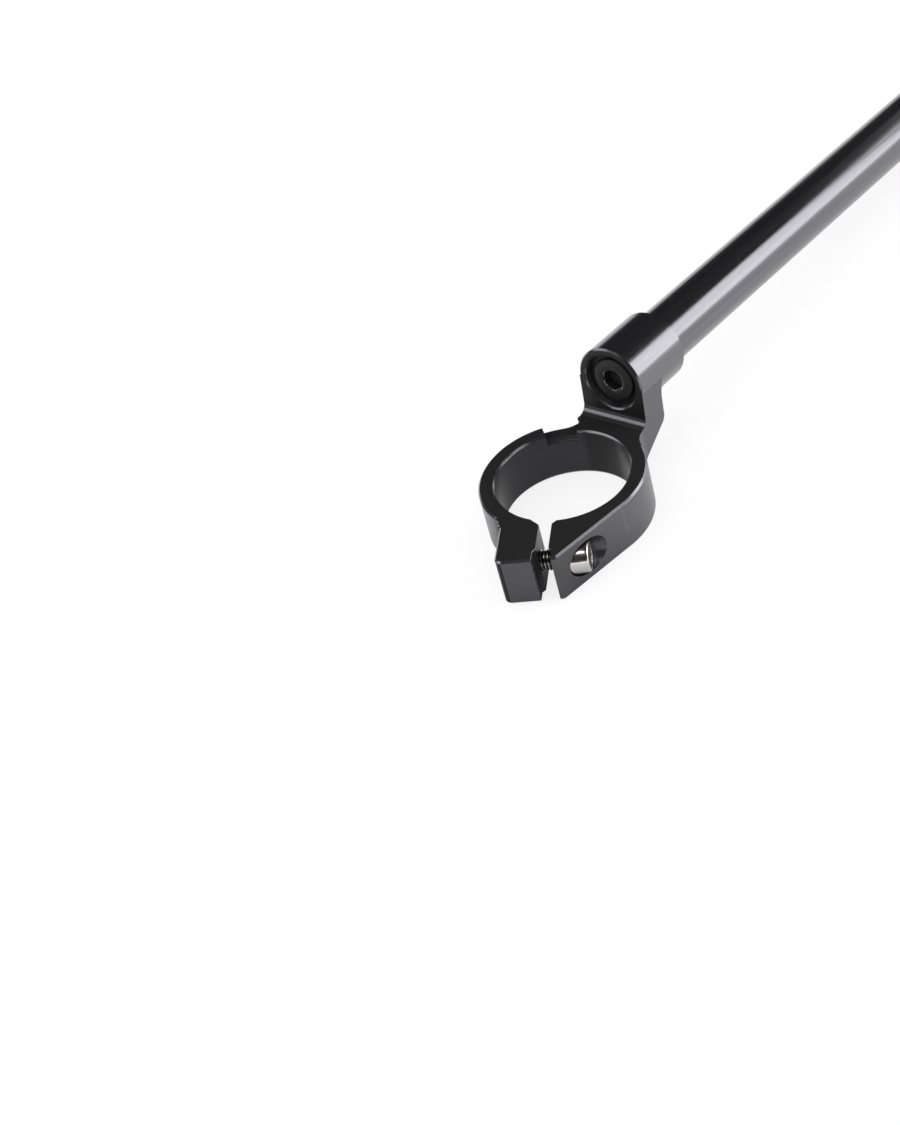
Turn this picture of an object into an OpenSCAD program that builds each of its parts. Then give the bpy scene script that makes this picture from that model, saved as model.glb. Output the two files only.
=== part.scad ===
// Clip-on handlebar for a motorcycle, one half of a pair.
// The origin is on the axis of the fork clamp, half-way up it. +Z is up the fork
// tube and +X is the horizontal direction in which the bar points.

/* [Fork clamp] */
// Bore of the clamp, which is the fork tube's diameter
fork_d = 51; // [45:0.5:58]
// Wall of the clamp ring
ring_wall = 6; // [5:0.25:7]
// Height of the clamp
clamp_h = 20; // [18:0.5:26]
// Chamfer on the top and bottom edges of the bore
bore_chamfer = 0.5; // [0.2:0.1:0.8]
// Chamfer on the outer edges of the clamp
edge_chamfer = 0.6; // [0.3:0.1:0.9]

/* [Lugs] */
// Direction of the split, counted from the bar's direction
split_angle = 210; // [195:1:220]
// Distance from the bore axis to the middle plane of the split
split_offset = 3.6; // [1:0.1:4.5]
// Width of the split at the bore
split_w = 4.8; // [3:0.1:6]
// Extra width on each side of the split beyond the screw
mouth_step = 1.15; // [0.6:0.05:1.6]
// Width of the lead-in bevels where the split meets the bore
split_bevel = 2.4; // [1:0.1:3]
// Reach of the lugs beyond the outside of the ring
lug_reach = 15; // [13:0.5:20]
// Thickness of the threaded lug, from the split to its outer wall
thread_lug_w = 14.5; // [11:0.5:15]
// Radius of the threaded lug's outer corner
thread_lug_r = 3; // [1:0.25:4]
// Radius of the fillet between the threaded lug and the ring
lug_fillet_r = 7; // [3:0.5:10]
// Angle between the split and the square of the head lug's slanted wall
head_wall_angle = 49.4; // [46:0.2:53]
// Radius of the head lug's outer corner
head_lug_r = 2.5; // [1:0.25:3]

/* [Pinch screw] */
// Thread diameter of the pinch screw
pinch_d = 8; // [6:0.5:8]
// Head diameter of the pinch screw
pinch_head_d = 13; // [10:0.5:13.5]
// Diameter of the pinch screw's head at its tapered end
pinch_head_top_d = 10.8; // [9:0.1:12.5]
// Head height of the pinch screw
pinch_head_h = 8; // [6:0.5:9]
// Width across the flats of the pinch screw's socket
pinch_hex = 6; // [4:0.5:6]
// Length of the pinch screw under its head
pinch_len = 23; // [18:0.5:24]
// Metal between the clamp's bore and the pinch screw's thread
pinch_wall = 6; // [5.5:0.1:7.5]
// Metal between the split's mouth and the seat of the screw's head
pinch_seat = 3.8; // [2.5:0.1:5]
// Gap round the head in its counterbore
pinch_head_gap = 0.5; // [0.3:0.1:1]
// Gap round the shank in the plain hole
pinch_shank_gap = 0.25; // [0.1:0.05:0.5]

/* [Notch in the ring] */
// Where the notch starts, at the bar bracket
notch_start = 22.3; // [18:0.1:26]
// Where the notch ends
notch_end = 49.5; // [40:0.5:70]
// Depth of the notch below the top face
notch_depth = 3; // [1:0.25:5]
// Bevel between the notch's floor and the bore
notch_bevel = 1.6; // [0.5:0.1:2.5]
// Radius of the bracket's corner beside the notch
notch_corner_r = 1.8; // [0.5:0.1:2.5]

/* [Bar socket] */
// Outer diameter of the socket
socket_d = 28.2; // [26.5:0.1:32]
// Length of the socket
socket_len = 28.6; // [26:0.2:36]
// Distance from the clamp axis to the socket's inner face, along the bar
socket_start = 37.1; // [34:0.1:46]
// Height of the bar's axis over the clamp's top face, at the clamp axis
bar_rise = 18.8; // [17.5:0.1:30]
// Angle by which the bar slopes down
bar_droop = 5; // [0:0.5:9]
// Length of the bracket under the socket, along the bar
bracket_len = 11.5; // [9:0.1:16]
// Height of the bracket's outer face below the clamp's top face
bracket_drop = 4.3; // [2:0.1:6]
// Slope of the bracket's underside
bracket_slope = 30.5; // [24:0.5:34]
// Bevel on the bracket's lower outer edge
bracket_bevel = 1; // [0.3:0.1:1.5]
// Radius of the fillets between the bracket and the ring
bracket_fillet_r = 10; // [4:0.5:12]
// Radius of the fillet between the bracket and the socket's underside
neck_fillet_r = 3; // [1:0.25:4]
// Radius of the cove at the foot of the socket's inner face
cove_r = 4; // [2.8:0.1:5]
// Width of the cove
cove_w = 2.6; // [1.6:0.1:2.7]
// Bevel on the edges of the socket's inner face
face_bevel = 0.6; // [0.3:0.1:1.2]
// Chamfer on the socket's outer end
socket_chamfer = 0.5; // [0.3:0.1:1]
// Thickness of the shoulder that the bar is pulled against
shoulder = 4; // [3:0.25:6]

/* [Bar] */
// Outer diameter of the bar
bar_d = 22.2; // [20:0.1:23]
// Wall of the bar
bar_wall = 2.5; // [1.5:0.1:3.5]
// Length of the bar
bar_len = 270; // [180:5:300]
// Chamfer on the ends of the bar
bar_chamfer = 0.5; // [0.2:0.1:0.9]
// Gap round the bar in its socket
bar_gap = 0.03; // [0.02:0.01:0.1]
// Width of the relief groove at the end of the bar's turned seat
seat_groove_w = 1.2; // [0.6:0.1:2]
// Depth of the relief groove
seat_groove_depth = 0.3; // [0.2:0.05:0.5]
// Reach of the relief groove out of the socket's mouth
seat_groove_reach = 0.3; // [0.2:0.1:0.5]
// Length of the threaded insert in the bar's inner end
insert_len = 20; // [14:0.5:30]
// Step in the bar's bore that the insert is pressed up to
insert_step = 0.3; // [0.2:0.05:0.5]
// Gap round the insert in the bar
insert_gap = 0.02; // [0.01:0.01:0.05]

/* [Bar screw] */
// Thread diameter of the bar screw
bar_screw_d = 12; // [10:0.5:12]
// Head diameter of the bar screw
bar_screw_head_d = 17.5; // [15.5:0.1:18.5]
// Head height of the bar screw
bar_screw_head_h = 2.5; // [2:0.1:4]
// Length of the bar screw under its head
bar_screw_len = 20; // [14:0.5:26]
// Width across the flats of the bar screw's socket
bar_screw_hex = 8; // [5:0.5:8]
// Depth from the socket's face to the top of the screw head
bar_screw_sink = 1.6; // [0.5:0.1:2.5]
// Depth from the socket's face to the floor of the wide counterbore
mouth_depth = 3.1; // [2.6:0.1:5]
// Gap round the head in its pocket
bar_screw_head_gap = 0.2; // [0.1:0.05:0.4]
// Gap round the shank in the shoulder
bar_screw_shank_gap = 0.25; // [0.1:0.05:0.5]
// Chamfer on the mouth of the wide counterbore
mouth_chamfer = 0.6; // [0.3:0.1:1]

/* [Fits] */
// Gap between a screw's thread and the hole that it is cut in
thread_gap = 0.05; // [0.03:0.01:0.1]

/* [Hidden] */

$fn = 96;
// Overrun of a cut past the face that it opens
over = 1;
// Step at which two rounded faces cross instead of only touching
blend = 0.02;

// Point of the bar's axis, in X and Z
function on_axis(s) = [s * cos(bar_droop), axis_z - s * sin(bar_droop)];

// Fork clamp
bore_r = fork_d / 2;
ring_r = bore_r + ring_wall;

// The lugs' own frame has U outward along the split and V towards the screw head
lug_u = ring_r + lug_reach;
split_lo = -split_offset - split_w / 2;
split_hi = -split_offset + split_w / 2;
mouth_hi = split_hi + mouth_step;
mouth_lo = split_lo - mouth_step;
thread_wall_v = split_lo - thread_lug_w;
wall_n = [cos(head_wall_angle), sin(head_wall_angle)];
head_wall_d = ring_r - blend;
head_post_u = lug_u - head_lug_r + blend;
head_post_v = (head_wall_d - head_lug_r + blend - wall_n.x * head_post_u) / wall_n.y;

// Pinch screw
pinch_r = pinch_d / 2;
pinch_u = bore_r + pinch_wall + pinch_r;
pinch_z = clamp_h / 2;
seat_v = mouth_hi + pinch_seat;
cbore_r = pinch_head_d / 2 + pinch_head_gap;
mouth_u = pinch_u + pinch_r + over;

// Bar socket, with S along the bar from the clamp axis
socket_r = socket_d / 2;
bar_r = bar_d / 2;
axis_z = clamp_h + bar_rise;
bracket_half = socket_r - blend;
bracket_end = socket_start + bracket_len;
face_foot_x = (socket_start - bar_rise * sin(bar_droop)) / cos(bar_droop);
cove_h = sqrt(pow(cove_r, 2) - pow(cove_r - cove_w, 2));
// Upright edge of the inner face, from the bar's axis to just above the cove
face_edge = (bar_rise - cove_h - socket_start * sin(bar_droop)) / cos(bar_droop) - face_bevel;
mouth_r = bar_r + 0.1;
pocket_r = bar_screw_head_d / 2 + bar_screw_head_gap;
pocket_depth = bar_screw_sink + bar_screw_head_h;
bar_start = socket_start + pocket_depth + shoulder;
bar_bore_r = bar_r - bar_wall;
insert_seat_r = bar_bore_r + insert_step;

// The bracket starts inside the bore, which cuts this end away
root_x = bore_r / 2;

// Centre of the fillet between the ring and the line y = d
function fillet_centre(d, r) =
    let (y = d + r - blend) [sqrt(pow(ring_r + r - blend, 2) - pow(y, 2)), y];

// Point at the distance r from the origin, in the direction of p
function at_radius(p, r) = p * r / norm(p);

// Everything is drawn from the clamp's bottom face, and moved down to the origin here
module centred() {
    translate([0, 0, -clamp_h / 2]) children();
}

module lug_frame() {
    rotate([0, 0, split_angle]) children();
}

// The bar's own frame: its X runs along the bar, its Z is square to it
module bar_frame(s = 0) {
    translate([0, 0, axis_z]) rotate([0, bar_droop, 0]) translate([s, 0, 0]) children();
}

// Turned piece whose axis is X; the outline is given as [along, radius]
module turned_x(outline) {
    rotate([0, 90, 0]) rotate([0, 0, 180]) rotate_extrude()
        polygon([for (p = outline) [p.y, p.x]]);
}

// Post or disc with chamfered rims
module rimmed_post(r, h, c) {
    rotate_extrude() polygon([[0, 0], [r - c, 0], [r, c], [r, h - c], [r - c, h], [0, h]]);
}

// Straight wall along X from x0 to x1, from y0 to its chamfered face at y1
module rimmed_wall(x0, x1, y0, y1, h, c) {
    s = sign(y1 - y0);
    translate([x0, 0, 0]) rotate([90, 0, 90]) linear_extrude(x1 - x0)
        polygon([[y0, 0], [y1 - s * c, 0], [y1, c], [y1, h - c], [y1 - s * c, h], [y0, h]]);
}

// Concave fillet between the ring and a wall along X at y = d, or at y = -d for the side -1
module ring_fillet(d, r, side) {
    centre = fillet_centre(d, r);
    lip = edge_chamfer;
    scale([1, side, 1]) difference() {
        linear_extrude(clamp_h) polygon([
            at_radius(centre, bore_r), at_radius(centre, ring_r + lip),
            [centre.x, d + lip], [centre.x, d - ring_wall]
        ]);
        translate([centre.x, centre.y, -over]) cylinder(h = clamp_h + 2 * over, r = r);
    }
}

module threaded_lug() {
    u1 = lug_u - thread_lug_r + blend;
    v1 = thread_wall_v + thread_lug_r - blend;
    rimmed_wall(0, u1, 0, thread_wall_v, clamp_h, edge_chamfer);
    rotate([0, 0, 90]) rimmed_wall(v1, 0, 0, -lug_u, clamp_h, edge_chamfer);
    translate([u1, v1, 0]) rimmed_post(thread_lug_r, clamp_h, edge_chamfer);
    ring_fillet(-thread_wall_v, lug_fillet_r, -1);
}

module head_lug() {
    post = [head_post_u, head_post_v];
    reach = post.x * wall_n.y - post.y * wall_n.x;
    rotate([0, 0, head_wall_angle - 90])
        rimmed_wall(0, reach, 0, head_wall_d, clamp_h, edge_chamfer);
    translate(post) rimmed_post(head_lug_r, clamp_h, edge_chamfer);
    rotate([0, 0, 90]) rimmed_wall(mouth_lo, max(post.y, mouth_hi), 0, -lug_u, clamp_h, edge_chamfer);
}

// The split with its lead-in bevels at the bore and its wider mouth
module split_cut() {
    bevel_u = sqrt(pow(bore_r, 2) - pow(split_offset, 2)) + split_bevel;
    far = lug_u + over;
    translate([0, 0, -over]) linear_extrude(clamp_h + 2 * over) polygon([
        [bevel_u - 2 * split_bevel, split_lo - 2 * split_bevel],
        [bevel_u, split_lo], [mouth_u, split_lo], [mouth_u + mouth_step, mouth_lo],
        [far, mouth_lo], [far, mouth_hi], [mouth_u + mouth_step, mouth_hi],
        [mouth_u, split_hi], [bevel_u, split_hi],
        [bevel_u - 2 * split_bevel, split_hi + 2 * split_bevel]
    ]);
}

module pinch_holes() {
    translate([pinch_u, 0, pinch_z]) rotate([-90, 0, 0]) {
        translate([0, 0, seat_v]) cylinder(h = ring_r, r = cbore_r);
        translate([0, 0, split_hi - over])
            cylinder(h = seat_v - split_hi + 2 * over, r = pinch_r + pinch_shank_gap);
        translate([0, 0, thread_wall_v - over])
            cylinder(h = thread_lug_w + 2 * over, r = pinch_r + thread_gap);
    }
}

module bore_cut() {
    c = bore_chamfer + over;
    rotate_extrude() polygon([
        [0, -over], [bore_r + c, -over], [bore_r, bore_chamfer], [bore_r, clamp_h - bore_chamfer],
        [bore_r + c, clamp_h + over], [0, clamp_h + over]
    ]);
}

// Notch in the ring's top, which stops at the bracket's rounded corner
module notch_cut() {
    floor_z = clamp_h - notch_depth;
    inner = bore_r - over;
    corner_r = notch_corner_r;
    keep_x = ring_r * cos(notch_start);
    difference() {
        rotate([0, 0, notch_start]) rotate_extrude(angle = notch_end - notch_start)
            translate([inner, floor_z]) square([ring_wall + bracket_fillet_r, notch_depth + over]);
        translate([keep_x, 0, 0]) cube([socket_start, socket_r - corner_r, clamp_h + 2 * over]);
        translate([keep_x + corner_r, 0, 0]) cube([socket_start, socket_r, clamp_h + 2 * over]);
        translate([keep_x + corner_r, socket_r - corner_r, 0])
            cylinder(h = clamp_h + 2 * over, r = corner_r);
    }
    rotate([0, 0, notch_start]) rotate_extrude(angle = notch_end - notch_start) polygon([
        [inner, floor_z - notch_bevel - over], [bore_r, floor_z - notch_bevel],
        [bore_r + notch_bevel, floor_z], [inner, floor_z]
    ]);
}

// Side view of the bracket, in X and Z
module bracket_side() {
    foot_z = clamp_h - bracket_drop;
    corner_x = face_foot_x + bracket_len / cos(bar_droop) - bracket_drop * tan(bar_droop);
    difference() {
        polygon([
            [root_x, clamp_h], [face_foot_x - cove_w, clamp_h],
            [face_foot_x - cove_w, clamp_h + cove_h],
            [face_foot_x + cove_h * tan(bar_droop), clamp_h + cove_h],
            on_axis(socket_start), on_axis(bracket_end),
            [corner_x + bracket_bevel * tan(bar_droop), foot_z + bracket_bevel],
            [corner_x - bracket_bevel, foot_z - bracket_bevel * tan(bracket_slope)],
            [root_x, foot_z - (corner_x - root_x) * tan(bracket_slope)]
        ]);
        translate([face_foot_x - cove_r + cove_h * tan(bar_droop) + blend, clamp_h + cove_h])
            circle(r = cove_r);
    }
}

module bracket() {
    intersection() {
        rotate([90, 0, 0]) linear_extrude(socket_d * 2, center = true) bracket_side();
        union() {
            translate([0, -bracket_half, 0]) cube([bracket_end + socket_r, 2 * bracket_half, axis_z]);
            for (side = [-1, 1])
                ring_fillet(bracket_half, bracket_fillet_r, side);
        }
    }
}

// Fillet between the bracket's outer face and the socket's underside
module neck_fillet() {
    r = neck_fillet_r;
    reach = r - blend;
    half = bracket_half - blend;
    arc = [for (a = [180:15:270]) [reach + r * cos(a), socket_r + reach + r * sin(a)]];
    bar_frame(bracket_end) intersection() {
        turned_x(concat(
            [[reach, socket_r - over], [-over, socket_r - over], [-over, socket_r + reach]], arc
        ));
        translate([-over, -half, -socket_d]) cube([r + over, 2 * half, socket_d]);
    }
}

module socket_body() {
    c = socket_chamfer;
    bar_frame(socket_start) turned_x([
        [0, 0], [0, socket_r - face_bevel], [face_bevel, socket_r], [socket_len - c, socket_r],
        [socket_len, socket_r - c], [socket_len, 0]
    ]);
}

// Bevels on the upright edges of the socket's inner face
module face_edge_cut() {
    inner = bracket_half - face_bevel - over;
    outer = bracket_half + over;
    for (side = [-1, 1])
        bar_frame(socket_start) translate([0, 0, -face_edge]) linear_extrude(face_edge)
            polygon([[-over, side * inner], [face_bevel + over, side * outer], [-over, side * outer]]);
}

module socket_bores() {
    bar_frame(socket_start) {
        turned_x([
            [-over, 0], [-over, mouth_r + mouth_chamfer + over], [mouth_chamfer, mouth_r],
            [mouth_depth, mouth_r], [mouth_depth, 0]
        ]);
        turned_x([[0, 0], [0, pocket_r], [pocket_depth, pocket_r], [pocket_depth, 0]]);
    }
    bar_frame(socket_start) rotate([0, 90, 0])
        cylinder(h = socket_len, r = bar_screw_d / 2 + bar_screw_shank_gap);
    bar_frame(bar_start) rotate([0, 90, 0]) cylinder(h = socket_len, r = bar_r + bar_gap);
}

module clamp() {
    color("#26272b") difference() {
        union() {
            rimmed_post(ring_r, clamp_h, edge_chamfer);
            lug_frame() {
                threaded_lug();
                head_lug();
            }
            bracket();
            socket_body();
            neck_fillet();
        }
        bore_cut();
        notch_cut();
        lug_frame() {
            split_cut();
            pinch_holes();
        }
        face_edge_cut();
        socket_bores();
    }
}

// The tube's inner end is turned to fit the socket and the insert
module bar_tube() {
    c = bar_chamfer;
    groove_end = socket_start + socket_len + seat_groove_reach - bar_start;
    groove_start = groove_end - seat_groove_w;
    groove_r = bar_r - seat_groove_depth;
    color("#1b1c20") bar_frame(bar_start) turned_x([
        [0, insert_seat_r], [0, bar_r - c], [c, bar_r],
        [groove_start, bar_r], [groove_start, groove_r], [groove_end, groove_r], [groove_end, bar_r],
        [bar_len - c, bar_r], [bar_len, bar_r - c], [bar_len, bar_bore_r],
        [insert_len, bar_bore_r], [insert_len, insert_seat_r]
    ]);
}

module tube_insert() {
    r = insert_seat_r - insert_gap;
    color("#8d9096") bar_frame(bar_start) turned_x([
        [0, bar_screw_d / 2 + thread_gap], [0, r], [insert_len, r],
        [insert_len, bar_screw_d / 2 + thread_gap]
    ]);
}

// Socket screw along X, with its seat at the origin and its head on the -X side
module socket_screw(d, len, head_d, top_d, head_h, hex, hex_depth) {
    tip = d / 10;
    rim = head_h / 8;
    difference() {
        turned_x([
            [-head_h, 0], [-head_h, top_d / 2 - rim], [rim - head_h, top_d / 2], [-rim, head_d / 2],
            [0, head_d / 2], [0, d / 2], [len - tip, d / 2], [len, d / 2 - tip], [len, 0]
        ]);
        translate([-head_h - over, 0, 0]) rotate([0, 90, 0])
            cylinder(h = hex_depth + over, d = hex / cos(30), $fn = 6);
    }
}

module bar_screw() {
    color("#2b2c30") bar_frame(socket_start + pocket_depth)
        socket_screw(bar_screw_d, bar_screw_len, bar_screw_head_d, bar_screw_head_d,
                     bar_screw_head_h, bar_screw_hex, bar_screw_hex / 2);
}

module pinch_screw() {
    color("#c9cbce") lug_frame() translate([pinch_u, seat_v, pinch_z]) rotate([0, 0, -90])
        socket_screw(pinch_d, pinch_len, pinch_head_d, pinch_head_top_d,
                     pinch_head_h, pinch_hex, pinch_head_h / 2);
}

centred() clamp();
centred() bar_tube();
centred() tube_insert();
centred() bar_screw();
centred() pinch_screw();
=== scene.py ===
import math

import bpy
from mathutils import Matrix, Vector


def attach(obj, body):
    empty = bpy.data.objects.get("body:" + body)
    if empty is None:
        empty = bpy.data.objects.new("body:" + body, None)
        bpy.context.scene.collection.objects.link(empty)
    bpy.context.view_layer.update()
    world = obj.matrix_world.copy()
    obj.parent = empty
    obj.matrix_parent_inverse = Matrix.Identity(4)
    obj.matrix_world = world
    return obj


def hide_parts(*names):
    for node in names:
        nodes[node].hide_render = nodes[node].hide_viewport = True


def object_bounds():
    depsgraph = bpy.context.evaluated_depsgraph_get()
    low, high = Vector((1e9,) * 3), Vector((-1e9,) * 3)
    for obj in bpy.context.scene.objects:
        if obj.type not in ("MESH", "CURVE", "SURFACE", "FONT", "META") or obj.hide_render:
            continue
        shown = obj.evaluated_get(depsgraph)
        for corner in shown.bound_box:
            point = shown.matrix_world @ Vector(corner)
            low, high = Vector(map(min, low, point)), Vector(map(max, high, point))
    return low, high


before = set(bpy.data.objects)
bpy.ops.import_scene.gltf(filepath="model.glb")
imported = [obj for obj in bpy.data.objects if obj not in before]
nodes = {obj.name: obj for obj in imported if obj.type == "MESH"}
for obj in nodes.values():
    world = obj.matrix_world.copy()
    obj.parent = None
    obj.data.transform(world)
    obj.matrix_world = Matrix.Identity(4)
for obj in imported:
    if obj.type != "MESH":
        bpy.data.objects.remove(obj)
cad_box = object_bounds()

MM = 0.001


def mm(*sizes):
    return tuple(size * MM for size in sizes)


# Where the bar and the two screws lie on the clamp, in millimetres.
BAR_AXIS_HEIGHT = 28.8
BAR_DROOP = math.radians(5)
SOCKET_FACE = 37.1
BAR_SCREW_SEAT = 41.2
SPLIT_ANGLE = math.radians(210)
PINCH_OUT = 35.5
PINCH_SEAT = 3.75

along_bar = Vector((math.cos(BAR_DROOP), 0, -math.sin(BAR_DROOP)))
along_split = Vector((math.cos(SPLIT_ANGLE), math.sin(SPLIT_ANGLE), 0))
across_split = Vector((-math.sin(SPLIT_ANGLE), math.cos(SPLIT_ANGLE), 0))


# Shaping

TURNING_STEPS = 96
ROUNDING_STEPS = 6
THREAD_STEPS = 48

# Points of a mesh that lie nearer together than this are merged, in metres.
JOIN_WITHIN = 1e-6
JOIN_THREAD_WITHIN = 2e-6

# Faces that meet at less than this look like one curved face.
SMOOTH_BELOW = math.radians(32)


def nothing_selected():
    if bpy.context.object and bpy.context.object.mode != "OBJECT":
        bpy.ops.object.mode_set(mode="OBJECT")
    bpy.ops.object.select_all(action="DESELECT")


def only(piece):
    nothing_selected()
    piece.select_set(True)
    bpy.context.view_layer.objects.active = piece


def edit(action):
    """Opens the active piece in edit mode, with all of it selected or none of it."""
    bpy.ops.object.mode_set(mode="EDIT")
    bpy.ops.mesh.select_all(action=action)


def edit_done():
    bpy.ops.object.mode_set(mode="OBJECT")


def place_in_mesh():
    """Puts the active piece's place and turn into its mesh, so that its object sits at the origin."""
    bpy.ops.object.transform_apply(location=True, rotation=True, scale=True)


def finish_modifier(piece, modifier):
    only(piece)
    bpy.ops.object.modifier_apply(modifier=modifier.name)


def outline_of_points(name, points):
    """An open outline in the XZ plane, drawn point by point from one corner of a plane.

    Points are (radius, height) in millimetres.
    """
    nothing_selected()
    bpy.ops.mesh.primitive_plane_add(size=2 * MM)
    piece = bpy.context.object
    piece.name = name
    edit("DESELECT")
    edit_done()
    for vertex in piece.data.vertices[1:]:
        vertex.select = True
    bpy.ops.object.mode_set(mode="EDIT")
    bpy.ops.mesh.select_mode(type="VERT")
    bpy.ops.mesh.delete(type="VERT")
    bpy.ops.mesh.select_all(action="SELECT")
    corner = Vector((-1, -1, 0)) * MM
    first = Vector((points[0][0], 0, points[0][1])) * MM
    bpy.ops.transform.translate(value=first - corner)
    for before, after in zip(points, points[1:]):
        step = Vector((after[0] - before[0], 0, after[1] - before[1])) * MM
        bpy.ops.mesh.extrude_region_move(TRANSFORM_OT_translate={"value": step})
    edit_done()
    return piece


def closed_and_outward(piece):
    """Merges the seams and poles of a piece and points its faces outwards."""
    only(piece)
    edit("SELECT")
    bpy.ops.mesh.remove_doubles(threshold=JOIN_WITHIN)
    bpy.ops.mesh.normals_make_consistent(inside=False)
    edit_done()


def turned(name, points):
    """A turned piece about Z from its outline, as on a lathe."""
    piece = outline_of_points(name, points)
    only(piece)
    edit("SELECT")
    bpy.ops.mesh.spin(steps=TURNING_STEPS, angle=2 * math.pi, center=(0, 0, 0), axis=(0, 0, 1))
    edit_done()
    closed_and_outward(piece)
    return piece


def rounded(centre, radius, start, end):
    """Points of an arc in an outline; angles in degrees from the radius axis."""
    points = []
    for step in range(ROUNDING_STEPS + 1):
        angle = math.radians(start + (end - start) * step / ROUNDING_STEPS)
        points.append((centre[0] + radius * math.cos(angle), centre[1] + radius * math.sin(angle)))
    return points


def cut_away(piece, tool):
    """Cuts the shape of a tool out of a piece, and puts the tool away."""
    cut = piece.modifiers.new("cut", "BOOLEAN")
    cut.operation = "DIFFERENCE"
    cut.solver = "EXACT"
    cut.object = tool
    finish_modifier(piece, cut)
    bpy.data.objects.remove(tool)


def hex_socket(piece, top, across, depth):
    """Sinks a hexagonal key socket with a drilled bottom and a bevelled mouth into a screw head.

    Sizes are in millimetres: the height of the head's end, the key's size and the socket's depth.
    """
    corner = across / 2 / math.cos(math.radians(30))
    above_head = 2
    middle = top + (above_head - depth) / 2
    nothing_selected()
    bpy.ops.mesh.primitive_cylinder_add(vertices=6, radius=corner * MM, depth=(depth + above_head) * MM,
                                        location=(0, 0, middle * MM))
    key = bpy.context.object
    place_in_mesh()
    edit("DESELECT")
    edit_done()
    facing_down = -0.9
    for face in key.data.polygons:
        face.select = face.normal.z < facing_down
    bpy.ops.object.mode_set(mode="EDIT")
    bpy.ops.mesh.select_mode(type="FACE")
    drill_point = 0.3 * corner
    drill_tip = 0.1
    bpy.ops.mesh.extrude_region_move(TRANSFORM_OT_translate={"value": (0, 0, -drill_point * MM)})
    bpy.ops.transform.resize(value=(drill_tip, drill_tip, 1))
    edit_done()
    closed_and_outward(key)
    cut_away(piece, key)

    mouth = corner + 0.15
    spread = 0.6
    bevel_height = 0.7
    nothing_selected()
    bpy.ops.mesh.primitive_cone_add(vertices=TURNING_STEPS, radius1=(mouth - spread) * MM,
                                    radius2=(mouth + spread) * MM, depth=bevel_height * MM,
                                    location=(0, 0, top * MM))
    countersink = bpy.context.object
    place_in_mesh()
    cut_away(piece, countersink)


def screw_thread(name, crest, pitch, low, high):
    """A closed, really helical 60 degree thread from height low to high."""
    root = crest - 0.54 * pitch
    flank = 0.3125 * pitch
    flat = 0.125 * pitch
    one_turn = [(root, 0), (root, flat), (crest, flat + flank), (crest, 2 * flat + flank),
                (root, 2 * flat + 2 * flank), (root, pitch)]
    piece = outline_of_points(name, one_turn)
    spare_turns = 3
    wind = piece.modifiers.new("wind", "SCREW")
    wind.axis = "Z"
    wind.angle = 2 * math.pi
    wind.screw_offset = pitch * MM
    wind.iterations = int((high - low) / pitch) + spare_turns
    wind.steps = THREAD_STEPS
    wind.render_steps = THREAD_STEPS
    finish_modifier(piece, wind)
    edit("SELECT")
    bpy.ops.mesh.remove_doubles(threshold=JOIN_THREAD_WITHIN)
    bpy.ops.transform.translate(value=(0, 0, (low - spare_turns / 2 * pitch) * MM))
    for height, outward in ((low, -1), (high, 1)):
        bpy.ops.mesh.select_all(action="SELECT")
        bpy.ops.mesh.bisect(plane_co=(0, 0, height * MM), plane_no=(0, 0, outward),
                            use_fill=True, clear_outer=True)
    edit_done()
    closed_and_outward(piece)
    return piece


def joined(first, *others):
    """The first piece with the others joined into it."""
    nothing_selected()
    for piece in others:
        piece.select_set(True)
    first.select_set(True)
    bpy.context.view_layer.objects.active = first
    bpy.ops.object.join()
    return first


def put(piece, origin, up):
    """Moves a piece made about Z to its place, into its mesh, with its +Z along up."""
    turn = up.normalized().to_track_quat("Z", "Y").to_matrix().to_4x4()
    piece.matrix_world = Matrix.Translation(origin * MM) @ turn
    only(piece)
    place_in_mesh()
    bpy.ops.object.shade_smooth_by_angle(angle=SMOOTH_BELOW)
    return piece


# Screws

# How far a head's underside is kept over its seat, so that two faces never lie in one plane.
OFF_SEAT = 0.01


def make_pinch_screw():
    """M8 screw with a tapered head; the head's end is up and its seat is at height 0."""
    top = 8
    top_radius = 5.75
    taper_end = 6.6
    rim = 0.8
    rim_centre = (top_radius - rim, top - rim)
    collar = 6.5
    neck = 3.9
    neck_end = -3
    thread_end = -22.4
    head = turned("pinch_screw_head", [
        (0, neck_end), (neck, neck_end), (neck, -OFF_SEAT), (collar - 0.4, -OFF_SEAT), (collar, 0.35),
        (collar, 0.9), (top_radius, taper_end)] + rounded(rim_centre, rim, start=15, end=90) + [(0, top)])
    hex_socket(head, top, across=6, depth=4)
    thread = screw_thread("pinch_screw_thread", crest=3.98, pitch=1.25, low=thread_end, high=neck_end + 0.1)
    core = 3.3
    point = 2.7
    tip = turned("pinch_screw_tip", [
        (0, thread_end - 0.6), (point, thread_end - 0.6), (core, thread_end + 0.1), (core, neck_end),
        (0, neck_end)])
    piece = joined(head, thread, tip)
    piece.name = "pinch_screw_finished"
    return put(piece, along_split * PINCH_OUT + across_split * PINCH_SEAT, across_split)


def make_bar_screw():
    """Low-head screw; the head's end is up and its seat is at height 0."""
    top = 2.5
    top_ring = 5.9
    head_radius = 8.75
    rim = 0.8
    rim_centre = (head_radius - rim, top - rim)
    shank = 5.9
    shank_end = -20
    head = turned("bar_screw_head", [
        (0, shank_end), (shank - 1, shank_end), (shank, shank_end + 1.2), (shank, -OFF_SEAT),
        (head_radius - 0.45, -OFF_SEAT), (head_radius, 0.4)]
        + rounded(rim_centre, rim, start=0, end=90) + [(top_ring, top), (0, top)])
    hex_socket(head, top, across=8, depth=4)
    head.name = "bar_screw_finished"
    origin = Vector((0, 0, BAR_AXIS_HEIGHT)) + along_bar * BAR_SCREW_SEAT
    return put(head, origin, -along_bar)


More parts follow.
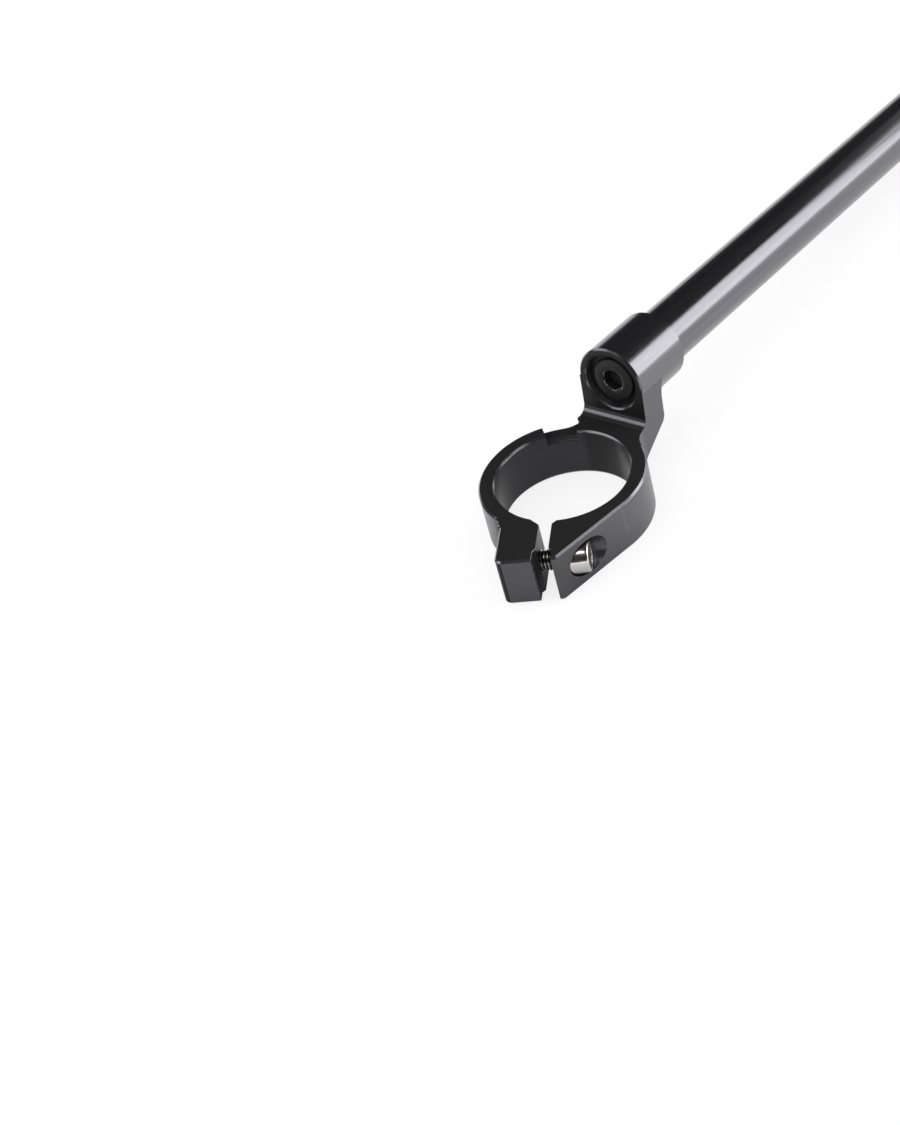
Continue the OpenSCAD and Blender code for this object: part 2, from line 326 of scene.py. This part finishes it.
pinch_screw = make_pinch_screw()
bar_screw = make_bar_screw()


# Finishes

PLACE = "NodeSocketVector"
NUMBER = "NodeSocketFloat"

# The vector sums that give a number.
MEASURES = ("DOT_PRODUCT", "LENGTH", "DISTANCE")


class Nodes:
    """Short ways to add the nodes of one tree and to join them."""

    def __init__(self, tree):
        self.tree = tree

    def add(self, kind, **settings):
        node = self.tree.nodes.new(kind)
        for key, value in settings.items():
            setattr(node, key, value)
        return node

    def join(self, output, socket):
        self.tree.links.new(output, socket)

    def put_in(self, socket, value):
        if hasattr(value, "is_output"):
            self.join(value, socket)
        else:
            socket.default_value = value

    def fill(self, node, values):
        for socket, value in zip(node.inputs, values):
            self.put_in(socket, value)

    def number(self, operation, *values):
        node = self.add("ShaderNodeMath", operation=operation)
        self.fill(node, values)
        return node.outputs[0]

    def vector(self, operation, *values):
        node = self.add("ShaderNodeVectorMath", operation=operation)
        self.fill(node, values)
        return node.outputs["Value" if operation in MEASURES else "Vector"]

    def parts(self, vector):
        """The X, Y and Z of a place or a direction."""
        node = self.add("ShaderNodeSeparateXYZ")
        self.join(vector, node.inputs[0])
        return node.outputs

    def both(self, *masks):
        """A mask that is full only where each of the masks is."""
        first, *others = masks
        for mask in others:
            first = self.number("MULTIPLY", first, mask)
        return first

    def either(self, *masks):
        """A mask that is full where any of the masks is."""
        first, *others = masks
        for mask in others:
            first = self.number("MAXIMUM", first, mask)
        return first

    def ramp(self, value, low, high, to_low=0.0, to_high=1.0):
        node = self.add("ShaderNodeMapRange", interpolation_type="SMOOTHSTEP")
        self.fill(node, (value, low, high, to_low, to_high))
        return node.outputs[0]

    def above(self, value, edge):
        """A mask that fills up from the first number of the edge to the second."""
        return self.ramp(value, *edge)

    def below(self, value, edge, full=1):
        """A mask that is full before the first number of the edge and gone at the second."""
        return self.ramp(value, *edge, full, 0)

    def from_to(self, mask, low, high):
        """A number that goes from low to high as the mask fills up."""
        return self.ramp(mask, 0, 1, low, high)

    def blend(self, mask, first, second):
        node = self.add("ShaderNodeMix", data_type="RGBA")
        self.put_in(node.inputs["Factor"], mask)
        colours = [s for s in node.inputs if s.type == "RGBA"]
        self.put_in(colours[0], first)
        self.put_in(colours[1], second)
        return [s for s in node.outputs if s.type == "RGBA"][0]

    def blend_number(self, mask, first, second):
        node = self.add("ShaderNodeMix", data_type="FLOAT")
        self.put_in(node.inputs["Factor"], mask)
        numbers = [s for s in node.inputs if s.type == "VALUE"]
        self.put_in(numbers[1], first)
        self.put_in(numbers[2], second)
        return [s for s in node.outputs if s.type == "VALUE"][0]

    def noise(self, place, scale=1.0, detail=2.0, roughness=0.5):
        node = self.add("ShaderNodeTexNoise")
        self.put_in(node.inputs["Vector"], place)
        self.put_in(node.inputs["Scale"], scale)
        self.put_in(node.inputs["Detail"], detail)
        self.put_in(node.inputs["Roughness"], roughness)
        return node.outputs[0]

    def spread(self, value, low, high):
        """A value evened out so that low becomes 0 and high becomes 1."""
        node = self.add("ShaderNodeMapRange")
        self.fill(node, (value, low, high))
        return node.outputs[0]

    def group(self, tree, **inputs):
        node = self.add("ShaderNodeGroup", node_tree=tree)
        for name, value in inputs.items():
            self.put_in(node.inputs[name], value)
        return node.outputs


class Finish(Nodes):
    """A material around its own shader."""

    def __init__(self, name):
        self.material = bpy.data.materials.new(name)
        self.material.use_nodes = True
        super().__init__(self.material.node_tree)
        self.shader = self.tree.nodes["Principled BSDF"]
        coords = self.add("ShaderNodeTexCoord")
        self.place = coords.outputs["Object"]
        self.normal = coords.outputs["Normal"]

    def give(self, **values):
        """Sets or joins the shader's inputs, named with low lines in place of spaces."""
        for name, value in values.items():
            self.put_in(self.shader.inputs[name.replace("_", " ")], value)

    def relief(self, height, distance):
        bump = self.add("ShaderNodeBump")
        bump.inputs["Distance"].default_value = distance
        self.join(height, bump.inputs["Height"])
        self.join(bump.outputs[0], self.shader.inputs["Normal"])


class Effect(Nodes):
    """A node group with named inputs and outputs, which several finishes use."""

    def __init__(self, name, inputs, outputs):
        super().__init__(bpy.data.node_groups.new(name, "ShaderNodeTree"))
        for label, kind in inputs.items():
            self.tree.interface.new_socket(name=label, in_out="INPUT", socket_type=kind)
        for label, kind in outputs.items():
            self.tree.interface.new_socket(name=label, in_out="OUTPUT", socket_type=kind)
        self.given = self.add("NodeGroupInput").outputs
        self.out = self.add("NodeGroupOutput").inputs


def blasted_grain_group():
    """Grain of a bead-blasted and anodised face: its height, and a mottle from 0 to 1."""
    effect = Effect("blasted_grain", {"Position": PLACE, "Size": NUMBER},
                    {"Height": NUMBER, "Mottle": NUMBER})
    scale = effect.number("DIVIDE", 1.0, effect.given["Size"])
    pits = effect.add("ShaderNodeTexVoronoi", feature="SMOOTH_F1")
    effect.join(effect.given["Position"], pits.inputs["Vector"])
    effect.join(scale, pits.inputs["Scale"])
    dust = effect.noise(effect.given["Position"], scale, detail=3, roughness=0.65)
    effect.join(effect.number("ADD", pits.outputs["Distance"], dust), effect.out["Height"])
    effect.join(effect.spread(dust, 0.35, 0.68), effect.out["Mottle"])
    return effect.tree


def drawn_lines_group():
    """Fine lines along local X of the given place, as on drawn tube or a milled wall."""
    effect = Effect("drawn_lines", {"Position": PLACE, "Spacing": NUMBER, "Length": NUMBER},
                    {"Height": NUMBER, "Streak": NUMBER})
    parts = effect.parts(effect.given["Position"])
    stretched = effect.add("ShaderNodeCombineXYZ")
    for index, size in enumerate(("Length", "Spacing", "Spacing")):
        share = effect.number("DIVIDE", parts[index], effect.given[size])
        effect.join(share, stretched.inputs[index])
    lines = effect.noise(stretched.outputs[0], detail=4, roughness=0.6)
    effect.join(lines, effect.out["Height"])
    effect.join(effect.spread(lines, 0.35, 0.65), effect.out["Streak"])
    return effect.tree


def along_bar_group():
    """Turns a place into the bar's own frame: X along the bar, and the distance from its axis."""
    effect = Effect("along_bar", {"Position": PLACE}, {"Position": PLACE, "Along": NUMBER, "Radius": NUMBER})
    turn = effect.add("ShaderNodeMapping", vector_type="TEXTURE")
    turn.inputs["Location"].default_value = (0, 0, BAR_AXIS_HEIGHT * MM)
    turn.inputs["Rotation"].default_value = (0, BAR_DROOP, 0)
    effect.join(effect.given["Position"], turn.inputs["Vector"])
    effect.join(turn.outputs[0], effect.out["Position"])
    parts = effect.parts(turn.outputs[0])
    effect.join(parts["X"], effect.out["Along"])
    flat = effect.add("ShaderNodeCombineXYZ")
    effect.join(parts["Y"], flat.inputs["Y"])
    effect.join(parts["Z"], flat.inputs["Z"])
    effect.join(effect.vector("LENGTH", flat.outputs[0]), effect.out["Radius"])
    return effect.tree


blasted_grain = blasted_grain_group()
drawn_lines = drawn_lines_group()
bar_place = along_bar_group()


def grey(value, warm=0.0):
    return (value * (1 + warm), value, value * (1 - warm), 1)


def anodised(value):
    """The slightly violet grey that black anodising has where it catches light."""
    green_share = 0.985
    blue_share = 1.06
    return (value, value * green_share, value * blue_share, 1)


# Edges of the clamp's finishes and painted shades, each from where a mask starts to where it is full or
# gone.
# Turns are the size of the normal's Z, or how far a face turns to the socket's mouth.
LEVEL_TURN = (0.93, 0.985)
FACED_TURN = (0.93, 0.985)
SLANT_TURN = (0.35, 0.5)
SLANT_TURN_END = (0.85, 0.93)
WALL_TURN_END = (0.2, 0.35)
RIM_START = mm(9.2, 9.35)
RIM_END = mm(10.02, 10.1)
SOCKET_START = mm(SOCKET_FACE + 0.1, SOCKET_FACE + 0.8)
SOCKET_WALL = mm(14.12, 14.3)
SOCKET_BAND = mm(13.8, 14.0)
MOUTH_START = mm(SOCKET_FACE, SOCKET_FACE + 0.7)
MOUTH_WALL = mm(11.3, 11.5)
RING_BORE = mm(25.6, 25.9)
NOTCH_OUTSIDE = mm(25.85, 26.05)
NOTCH_LOW = mm(5.2, 5.3)
NOTCH_HIGH = mm(7.05, 7.15)
BROKEN_EDGE_END = mm(29.0, 29.3)
BROKEN_EDGE_SHINE = mm(9.1, 9.2)
OVER_RING = mm(9.9, 10.1)

# By the bracket, the walls' upper edges fall away above this height, at this slope.
EDGE_FALL_START = 9.15 * MM
EDGE_SLOPE = 0.84


def clamp_masks(finish, bar):
    """Masks for where each finish and each painted shade lies on the clamp, and the height from its middle,
    by name.
    """
    place = finish.parts(finish.place)
    height = finish.number("ABSOLUTE", place["Z"])
    upright = finish.number("ABSOLUTE", finish.parts(finish.normal)["Z"])
    to_mouth = finish.vector("DOT_PRODUCT", finish.normal, -along_bar)
    from_axis = finish.number("SQRT", finish.number("ADD", finish.number("POWER", place["X"], 2),
                                                    finish.number("POWER", place["Y"], 2)))

    level = finish.above(upright, LEVEL_TURN)
    # Painted shade: faces turned to the socket's mouth are picked out to be coloured darker.
    face_shade = finish.above(to_mouth, FACED_TURN)
    slanted = finish.both(finish.above(upright, SLANT_TURN), finish.below(upright, SLANT_TURN_END))
    below_rim_end = finish.below(height, RIM_END)
    bevel = finish.both(finish.above(height, RIM_START), below_rim_end, slanted)
    wall_top = finish.both(finish.below(upright, WALL_TURN_END), below_rim_end)
    broken_edge = finish.both(wall_top, finish.below(place["X"], BROKEN_EDGE_END))
    shining = finish.either(bevel, finish.both(broken_edge, finish.above(height, BROKEN_EDGE_SHINE)))

    on_socket = finish.both(finish.above(bar["Along"], SOCKET_START),
                            finish.below(bar["Radius"], SOCKET_WALL))
    socket_band = finish.both(on_socket, finish.above(bar["Radius"], SOCKET_BAND))
    # Painted shade: the counterbore's wall in the socket's mouth is partly darkened toward the blasted
    # colour.
    mouth_wall_shade = finish.both(finish.below(bar["Radius"], MOUTH_WALL, full=0.6),
                           finish.above(bar["Along"], MOUTH_START))
    in_notch = finish.both(slanted, finish.above(from_axis, NOTCH_OUTSIDE),
                           finish.below(place["Z"], NOTCH_HIGH), finish.above(place["Z"], NOTCH_LOW))
    # Blasted level faces and the notch's bevel, plus painted shade on the face and the counterbore wall by
    # the socket's mouth, all in the dark blasted finish.
    blasted_and_shade = finish.both(finish.either(level, face_shade, mouth_wall_shade, in_notch),
                       finish.number("SUBTRACT", 1.0, socket_band))
    return {
        "blasted_and_shade": blasted_and_shade,
        "face_shade": face_shade,
        "socket": on_socket,
        "bore": finish.below(from_axis, RING_BORE),
        "over_ring": finish.above(place["Z"], OVER_RING),
        "shining": shining,
        "broken_edge": broken_edge,
        "height": height,
    }


def anodised_clamp():
    """Black anodised billet: blasted flat faces, satin outer walls, clean bevels, and painted shade in the
    bore, on the face turned to the socket's mouth and on the counterbore's wall.
    """
    finish = Finish("black_anodised_clamp")
    bar = finish.group(bar_place, Position=finish.place)
    on = clamp_masks(finish, bar)
    grain = finish.group(blasted_grain, Position=finish.place, Size=0.42 * MM)
    lines = finish.group(drawn_lines, Position=bar["Position"], Spacing=0.22 * MM, Length=30 * MM)

    # Squeezed across, so that the milled lines stay level all round the wall.
    squeeze = 0.05
    squeezed = finish.add("ShaderNodeMapping")
    finish.join(finish.place, squeezed.inputs["Vector"])
    squeezed.inputs["Scale"].default_value = (1, squeeze, 1)
    milled = finish.group(drawn_lines, Position=squeezed.outputs[0], Spacing=0.6 * MM, Length=12 * MM)

    wall = finish.blend(milled["Streak"], anodised(0.132), anodised(0.146))
    # Painted shade: the ring's bore is coloured far darker than the outer walls.
    bore = finish.blend(grain["Mottle"], anodised(0.04), anodised(0.048))
    socket = finish.blend(lines["Streak"], anodised(0.165), anodised(0.2))
    blasted = finish.blend(grain["Mottle"], grey(0.021), grey(0.032))
    colour = finish.blend(on["bore"], wall, bore)
    colour = finish.blend(on["socket"], colour, socket)
    colour = finish.blend(on["blasted_and_shade"], colour, blasted)
    # Painted shade: faces turned to the socket's mouth are darker than the other blasted faces.
    colour = finish.blend(on["face_shade"], colour, grey(0.014))
    colour = finish.blend(on["shining"], colour, anodised(0.19))

    rough_wall = finish.from_to(milled["Streak"], 0.3, 0.34)
    rough_bracket = 0.2
    rough_socket = finish.from_to(lines["Streak"], 0.16, 0.22)
    rough_blasted = finish.from_to(grain["Mottle"], 0.42, 0.56)
    rough_bevel = 0.2
    roughness = finish.blend_number(on["over_ring"], rough_wall, rough_bracket)
    roughness = finish.blend_number(on["socket"], roughness, rough_socket)
    roughness = finish.blend_number(on["blasted_and_shade"], roughness, rough_blasted)
    roughness = finish.blend_number(on["shining"], roughness, rough_bevel)

    metal_wall = 0.92
    metal_socket = 0.965
    metal_blasted = 0.55
    metallic = finish.blend_number(on["socket"], metal_wall, metal_socket)
    metallic = finish.blend_number(on["blasted_and_shade"], metallic, metal_blasted)
    finish.give(Base_Color=colour, Roughness=roughness, Metallic=metallic)

    depth = 0.03 * MM
    milled_share = 0.07
    lines_share = 0.12
    past_edge = finish.number("MAXIMUM", finish.number("SUBTRACT", on["height"], EDGE_FALL_START), 0.0)
    fall = finish.number("MULTIPLY", past_edge, -EDGE_SLOPE / depth)
    wall_height = finish.number("ADD", finish.number("MULTIPLY", milled["Height"], milled_share),
                                finish.number("MULTIPLY", fall, on["broken_edge"]))
    socket_height = finish.number("MULTIPLY", lines["Height"], lines_share)
    smooth_height = finish.blend_number(on["socket"], wall_height, socket_height)
    finish.relief(finish.blend_number(on["blasted_and_shade"], smooth_height, grain["Height"]), depth)
    return finish.material


def anodised_bar():
    """Black anodised tube with fine and broad lines along it from drawing."""
    finish = Finish("black_anodised_bar")
    bar = finish.group(bar_place, Position=finish.place)
    fine = finish.group(drawn_lines, Position=bar["Position"], Spacing=0.22 * MM, Length=60 * MM)
    broad = finish.group(drawn_lines, Position=bar["Position"], Spacing=1.6 * MM, Length=120 * MM)
    streak = finish.number("MULTIPLY", finish.number("ADD", fine["Streak"], broad["Streak"]), 0.5)
    finish.give(Base_Color=finish.blend(streak, anodised(0.15), anodised(0.195)),
                Roughness=finish.from_to(streak, 0.15, 0.24),
                Metallic=0.965)
    finish.relief(fine["Height"], 0.004 * MM)
    return finish.material


def bright_zinc():
    """Bright zinc plate, with painted shade down in the thread's roots."""
    finish = Finish("bright_zinc_screw")
    grain = finish.group(blasted_grain, Position=finish.place, Size=0.6 * MM)
    plated = finish.blend(grain["Mottle"], grey(0.78, 0.035), grey(0.86, 0.035))
    from_middle = finish.vector("SUBTRACT", finish.place, along_split * PINCH_OUT * MM)
    from_screw = finish.vector("LENGTH", finish.vector("CROSS_PRODUCT", from_middle, across_split))
    lengthwise = finish.vector("DOT_PRODUCT", finish.place, across_split)
    to_tip = finish.vector("DOT_PRODUCT", finish.normal, -across_split)
    root_wall = mm(3.4, 3.75)
    thread_top = mm(0.5, 1.0)
    tip_turn = (0.9, 0.97)
    # Painted shade: the thread's roots are coloured dark, where shade falls between the turns.
    root = finish.both(finish.below(from_screw, root_wall), finish.below(lengthwise, thread_top),
                       finish.below(to_tip, tip_turn))
    finish.give(Base_Color=finish.blend(root, plated, grey(0.06, 0.05)),
                Roughness=finish.from_to(grain["Mottle"], 0.16, 0.26),
                Metallic=1.0)
    finish.relief(grain["Height"], 0.003 * MM)
    return finish.material


def black_oxide():
    """Black oxide, with a lighter bevel on its key socket: oxide rubbed off by the key, and a painted glint.
    """
    finish = Finish("black_oxide_screw")
    grain = finish.group(blasted_grain, Position=finish.place, Size=0.5 * MM)
    bar = finish.group(bar_place, Position=finish.place)
    to_mouth = finish.vector("DOT_PRODUCT", finish.normal, -along_bar)
    bevel_turn = (0.78, 0.83)
    bevel_turn_end = (0.9, 0.93)
    key_mouth = mm(5.5, 5.6)
    # Rubbed-off oxide and a painted glint: the key socket's bevel is coloured light so that it catches a
    # glint.
    rubbed_glint = finish.both(finish.above(to_mouth, bevel_turn), finish.below(to_mouth, bevel_turn_end),
                         finish.below(bar["Radius"], key_mouth))
    oxide = finish.blend(grain["Mottle"], grey(0.018), grey(0.028))
    rough_oxide = finish.from_to(grain["Mottle"], 0.38, 0.48)
    rough_rubbed_glint = 0.3
    finish.give(Base_Color=finish.blend(rubbed_glint, oxide, grey(0.4)),
                Roughness=finish.blend_number(rubbed_glint, rough_oxide, rough_rubbed_glint),
                Metallic=0.6)
    finish.relief(grain["Height"], 0.008 * MM)
    return finish.material


def turned_insert():
    """Bare metal with fine rings from the lathe."""
    finish = Finish("turned_insert")
    bar = finish.group(bar_place, Position=finish.place)
    rings_outward = 4000
    rings_along = 3000
    stretched = finish.add("ShaderNodeCombineXYZ")
    finish.join(finish.number("MULTIPLY", bar["Radius"], rings_outward), stretched.inputs["X"])
    finish.join(finish.number("MULTIPLY", bar["Along"], rings_along), stretched.inputs["Y"])
    rings = finish.noise(stretched.outputs[0], detail=3)
    finish.give(Base_Color=finish.blend(rings, grey(0.4), grey(0.55)),
                Roughness=finish.ramp(rings, 0.3, 0.7, 0.25, 0.4),
                Metallic=1.0)
    finish.relief(rings, 0.01 * MM)
    return finish.material


def wear(piece, material):
    piece.data.materials.clear()
    piece.data.materials.append(material)


wear(nodes["clamp"], anodised_clamp())
wear(nodes["bar_tube"], anodised_bar())
wear(nodes["tube_insert"], turned_insert())
wear(bar_screw, black_oxide())
wear(pinch_screw, bright_zinc())

for piece, node, slot in (
        (bar_screw, "bar_screw", "dark_screw"),
        (pinch_screw, "pinch_screw", "bright_screw")):
    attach(piece, "root")
    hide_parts(node)


# Studio

WHITE = grey(1.0)
FLOOR_SIZE = 12
FLOOR_HEIGHT = cad_box[0].z - 0.2 * MM

# How much of the floor's own glow the camera and mirrored rays see.
GLOW_BY_EYE = 0.8
GLOW_MIRRORED = 0.5

# A painted dark spot on the floor by the lugs, which only mirrored rays see: painted shade in the lugs'
# reflections, in metres.
REFLECTED_SHADE_SPOT = (-0.074, -0.036, cad_box[0].z)
REFLECTED_SHADE_SPOT_EDGE = (0.04, 0.09)


def white_floor():
    """White paper that glows to the eye and still takes shadows."""
    nothing_selected()
    bpy.ops.mesh.primitive_plane_add(size=FLOOR_SIZE, location=(0, 0, FLOOR_HEIGHT))
    floor = bpy.context.object
    floor.name = "floor"
    place_in_mesh()
    finish = Finish("white_floor")
    paper = finish.noise(finish.place, scale=40)
    finish.give(Base_Color=finish.blend(paper, grey(0.86), grey(0.9)),
                Roughness=0.9,
                Specular_IOR_Level=0.0)

    seen = finish.add("ShaderNodeLightPath").outputs
    mirrored = finish.either(seen["Is Glossy Ray"], seen["Is Transmission Ray"])
    glowing = finish.either(finish.number("MULTIPLY", seen["Is Camera Ray"], GLOW_BY_EYE),
                            finish.number("MULTIPLY", mirrored, GLOW_MIRRORED))
    from_spot = finish.vector("DISTANCE", finish.place, REFLECTED_SHADE_SPOT)
    # Painted shade: mirrored rays see the floor darkened near the lugs.
    dim = finish.both(finish.below(from_spot, REFLECTED_SHADE_SPOT_EDGE), seen["Is Glossy Ray"])
    glow = finish.add("ShaderNodeEmission")
    glow.inputs["Strength"].default_value = 1.0
    finish.join(finish.blend(dim, WHITE, grey(0.02)), glow.inputs["Color"])

    mixed = finish.add("ShaderNodeMixShader")
    finish.join(glowing, mixed.inputs[0])
    finish.join(finish.shader.outputs[0], mixed.inputs[1])
    finish.join(glow.outputs[0], mixed.inputs[2])
    finish.join(mixed.outputs[0], finish.tree.nodes["Material Output"].inputs["Surface"])
    wear(floor, finish.material)


def studio_world():
    """A white sweep up to eye height that falls to a dim ceiling."""
    world = bpy.data.worlds.new("studio")
    bpy.context.scene.world = world
    world.use_nodes = True
    sky = Nodes(world.node_tree)
    direction = sky.add("ShaderNodeTexCoord").outputs["Generated"]
    sweep = sky.add("ShaderNodeValToRGB")
    sweep.color_ramp.interpolation = "EASE"
    white_end, dim_end = sweep.color_ramp.elements
    white_end.position = 0.02
    white_end.color = WHITE
    dim_end.position = 0.1
    dim_end.color = grey(0.012)
    sky.join(sky.parts(direction)["Z"], sweep.inputs[0])
    seen = sky.add("ShaderNodeLightPath").outputs
    by_eye = sky.either(seen["Is Camera Ray"], seen["Is Glossy Ray"], seen["Is Transmission Ray"])
    fill_light = grey(0.98)
    background = sky.tree.nodes["Background"]
    sky.join(sky.blend(by_eye, fill_light, sweep.outputs[0]), background.inputs["Color"])
    background.inputs["Strength"].default_value = 1.0


# Each softbox: its name, azimuth and elevation in degrees as seen from the part, distance, width
# and height in metres, and radiance.
SOFTBOXES = (
    ("side_softbox", -50, 16, 1.1, 0.9, 0.62, 3.7),
    ("back_softbox", 132, 35, 1.0, 1.4, 0.44, 1.6),
    ("overhead_softbox", 172, 66, 1.0, 0.56, 0.32, 2.2),
    ("front_softbox", -8, 15, 1.1, 0.6, 0.34, 1.8),
    ("high_softbox", -74, 41, 1.1, 0.4, 0.34, 1.3),
)
LIT_POINT = Vector((0.05, 0, 0.02))


def soft_light(name, azimuth, elevation, distance, width, height, radiance):
    around = math.radians(azimuth)
    up = math.radians(elevation)
    away = Vector((math.cos(around) * math.cos(up), math.sin(around) * math.cos(up), math.sin(up)))
    data = bpy.data.lights.new(name, "AREA")
    data.shape = "RECTANGLE"
    data.size = width
    data.size_y = height
    data.energy = radiance * math.pi * width * height
    lamp = bpy.data.objects.new(name, data)
    bpy.context.scene.collection.objects.link(lamp)
    lamp.location = LIT_POINT + away * distance
    lamp.rotation_mode = "QUATERNION"
    lamp.rotation_quaternion = away.to_track_quat("Z", "Y")
    lamp.visible_camera = False


white_floor()
studio_world()
for softbox in SOFTBOXES:
    soft_light(*softbox)


# Camera

CAMERA_PLACE = Vector((-0.4369, -0.4200, 0.4756))
CAMERA_RIGHT = Vector((0.5944, -0.7716, -0.2264))
CAMERA_BACK = Vector((-0.5148, -0.5814, 0.6300))
LENS_LENGTH = 66.55
SENSOR_WIDTH = 36.0


def camera_as_photographed():
    data = bpy.data.cameras.new("camera")
    data.lens = LENS_LENGTH
    data.sensor_width = SENSOR_WIDTH
    data.sensor_fit = "AUTO"
    data.clip_start = 0.01
    data.clip_end = 50
    camera = bpy.data.objects.new("camera", data)
    bpy.context.scene.collection.objects.link(camera)
    back = CAMERA_BACK.normalized()
    up = back.cross(CAMERA_RIGHT.normalized()).normalized()
    right = up.cross(back).normalized()
    turn = Matrix((right, up, back)).transposed().to_4x4()
    camera.matrix_world = Matrix.Translation(CAMERA_PLACE) @ turn
    bpy.context.scene.camera = camera


camera_as_photographed()
bpy.context.scene.view_settings.view_transform = "Standard"
